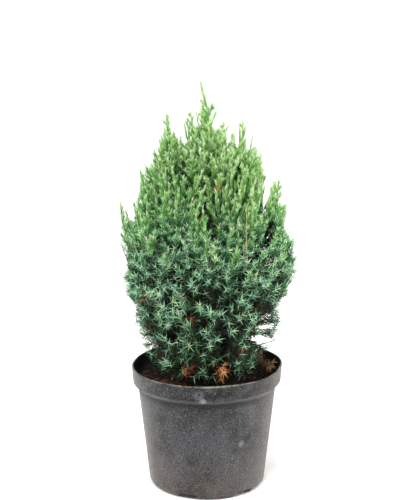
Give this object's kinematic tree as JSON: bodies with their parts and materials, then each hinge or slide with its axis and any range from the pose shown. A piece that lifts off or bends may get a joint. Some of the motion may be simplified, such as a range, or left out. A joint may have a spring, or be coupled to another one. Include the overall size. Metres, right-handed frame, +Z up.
{
  "type": "potted juniper",
  "caption": "Young upright conifer with a dense pyramid of blue-green needle foliage on short boughs, rooted in potting soil in a round tapered dark grey plastic nursery pot.",
  "frame": {"origin": "centre of the pot's flat underside, on the level it stands on", "axes": "+Z up along the trunk, -Y towards the viewer of the picture, +X to that viewer's right"},
  "size_m": [0.2007, 0.1984, 0.463],
  "materials": {
    "pot_plastic": "satin, dusty and a little scuffed",
    "potting_soil": "damp, crumbly, matt",
    "bark": "flaky, matt",
    "needles": "waxy, with a pale bloom"
  },
  "bodies": {
    "root": {"pot": "pot_plastic", "soil": "potting_soil", "trunk": "bark", "bough_skirt_1": "bark", "foliage_skirt_1": "needles", "bough_skirt_2": "bark", "foliage_skirt_2": "needles", "bough_skirt_3": "bark", "foliage_skirt_3": "needles", "bough_skirt_4": "bark", "foliage_skirt_4": "needles", "bough_skirt_5": "bark", "foliage_skirt_5": "needles", "bough_skirt_6": "bark", "foliage_skirt_6": "needles", "bough_skirt_7": "bark", "foliage_skirt_7": "needles", "bough_waist_1": "bark", "foliage_waist_1": "needles", "bough_waist_2": "bark", "foliage_waist_2": "needles", "bough_waist_3": "bark", "foliage_waist_3": "needles", "bough_waist_4": "bark", "foliage_waist_4": "needles", "bough_waist_5": "bark", "foliage_waist_5": "needles", "bough_waist_6": "bark", "foliage_waist_6": "needles", "bough_waist_7": "bark", "foliage_waist_7": "needles", "bough_waist_8": "bark", "foliage_waist_8": "needles", "bough_upper_1": "bark", "foliage_upper_1": "needles", "bough_upper_2": "bark", "foliage_upper_2": "needles", "bough_upper_3": "bark", "foliage_upper_3": "needles", "bough_upper_4": "bark", "foliage_upper_4": "needles", "bough_upper_5": "bark", "foliage_upper_5": "needles", "bough_upper_6": "bark", "foliage_upper_6": "needles", "bough_crown_1": "bark", "foliage_crown_1": "needles", "bough_crown_2": "bark", "foliage_crown_2": "needles", "bough_crown_3": "bark", "foliage_crown_3": "needles", "bough_crown_4": "bark", "foliage_crown_4": "needles", "foliage_leader": "needles"}
  },
  "joints": []
}
